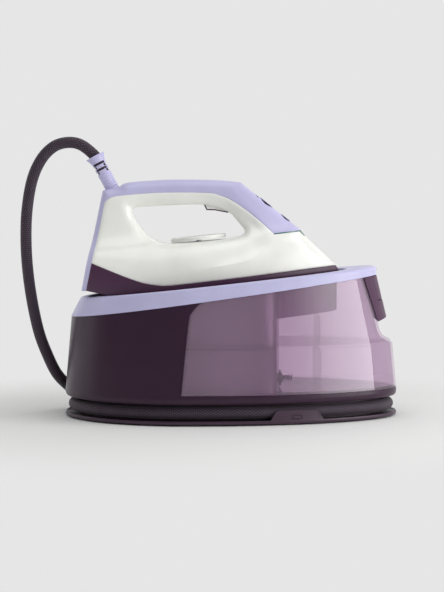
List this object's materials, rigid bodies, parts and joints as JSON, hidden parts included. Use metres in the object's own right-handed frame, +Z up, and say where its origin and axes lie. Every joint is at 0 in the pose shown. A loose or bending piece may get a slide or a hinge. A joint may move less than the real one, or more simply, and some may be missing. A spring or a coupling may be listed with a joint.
{
  "type": "steam generator iron",
  "caption": "Steam iron resting on the tilted platform of an egg-shaped station with a lift-off water tank, a boiler inside and a braided steam hose wrapped round the foot.",
  "frame": {"origin": "on the table, under the middle of the whole object's length, from the hose loop to the nose, and of its width", "axes": "+X to the nose of the iron and station, +Y to the side with the cord bay, +Z up"},
  "size_m": [0.3955, 0.2102, 0.2914],
  "materials": {
    "dark_plastic": "satin, very dark plum",
    "tray_plastic": "fine matte texture, dark plum",
    "plum_plastic": "satin, plum",
    "grip_plastic": "satin, plum",
    "lilac_plastic": "satin, pale lilac",
    "white_plastic": "glossy, warm white",
    "dial_plastic": "satin, pale grey",
    "tank_plastic": "clear mauve tint, smooth",
    "light_pipe": "translucent teal",
    "hose_braid": "woven braid, dark plum",
    "stainless": "brushed",
    "cast_alloy": "as cast",
    "heater_sheath": "dull, heat tinted",
    "yellow_brass": "turned",
    "black_rubber": "matte",
    "tube_plastic": "milky silicone",
    "dark_fitting": "moulded, dark grey",
    "circuit_board": "solder mask, green"
  },
  "bodies": {
    "station": {"hose_tray": "tray_plastic", "rubber_feet": "black_rubber", "tray_screws": "stainless", "station_housing": "dark_plastic", "core_cover": "dark_plastic", "platform_rim": "lilac_plastic", "platform_deck": "plum_plastic", "rest_pads": "black_rubber", "boiler": "stainless", "boiler_heater": "heater_sheath", "boiler_thermostat": "dark_fitting", "steam_valve": "yellow_brass", "safety_valve": "yellow_brass", "water_pump": "dark_fitting", "pump_mounts": "black_rubber", "inlet_tube": "tube_plastic", "feed_tube": "tube_plastic", "steam_tube": "stainless", "hose_outlet": "dark_fitting", "control_board": "circuit_board", "drain_pipe": "yellow_brass", "cord_bay": "dark_plastic", "mains_cord": "black_rubber", "mains_plug": "black_rubber", "cord_bush": "black_rubber", "tank_seal": "black_rubber", "steam_hose": "hose_braid"},
    "tank": {"tank_lower": "tank_plastic", "tank_upper": "tank_plastic", "tank_baffle": "tank_plastic", "tank_grip": "grip_plastic", "tank_valve": "dark_fitting", "tank_valve_spring": "stainless", "release_spring": "stainless"},
    "release": {"release_button": "grip_plastic"},
    "descaling": {"descaling_knob": "plum_plastic"},
    "iron": {"soleplate": "stainless", "steam_chamber": "cast_alloy", "sole_heater": "heater_sheath", "chamber_seal": "black_rubber", "chamber_lid": "cast_alloy", "heat_skirt": "plum_plastic", "iron_body": "white_plastic", "handle_cover": "lilac_plastic", "indicator_light": "light_pipe", "dial_shaft": "stainless", "iron_thermostat": "dark_fitting", "trigger_pin": "stainless", "trigger_spring": "stainless", "micro_switch": "dark_fitting", "button_board": "circuit_board", "iron_steam_tube": "yellow_brass", "bend_guard": "lilac_plastic", "iron_screws": "stainless"},
    "dial": {"temperature_dial": "dial_plastic"},
    "trigger": {"steam_trigger": "dial_plastic"},
    "power": {"power_button": "lilac_plastic"},
    "boost": {"boost_button": "lilac_plastic"}
  },
  "joints": [
    {"name": "iron_lift", "type": "slide", "parent": "station", "child": "iron", "axis": [-0.1063, 0, 0.9943], "range_m": [0, 0.1], "deforming": ["steam_hose"]},
    {"name": "dial_turn", "type": "hinge", "parent": "iron", "child": "dial", "pos_m": [-0.0102, 0, 0.18387], "axis": [-0.1063, 0, 0.9943], "range_deg": [-140, 140]},
    {"name": "trigger_turn", "type": "hinge", "parent": "iron", "child": "trigger", "pos_m": [0.02034, 0, 0.2181], "axis": [0, 1, 0], "range_deg": [0, 8], "deforming": ["trigger_spring"]},
    {"name": "power_press", "type": "slide", "parent": "iron", "child": "power", "axis": [-0.616, 0, -0.7878], "range_m": [0, 0.0015]},
    {"name": "boost_press", "type": "slide", "parent": "iron", "child": "boost", "axis": [-0.616, 0, -0.7878], "range_m": [0, 0.0015]},
    {"name": "tank_slide", "type": "slide", "parent": "station", "child": "tank", "axis": [1, 0, 0], "range_m": [0, 0.23]},
    {"name": "release_press", "type": "slide", "parent": "tank", "child": "release", "axis": [-1, 0, 0], "range_m": [0, 0.003], "deforming": ["release_spring"]},
    {"name": "descaling_turn", "type": "hinge", "parent": "station", "child": "descaling", "pos_m": [-0.131, 0.05103, 0.05], "axis": [-0.8072, 0.5903, 0], "range_deg": [0, 90]}
  ]
}
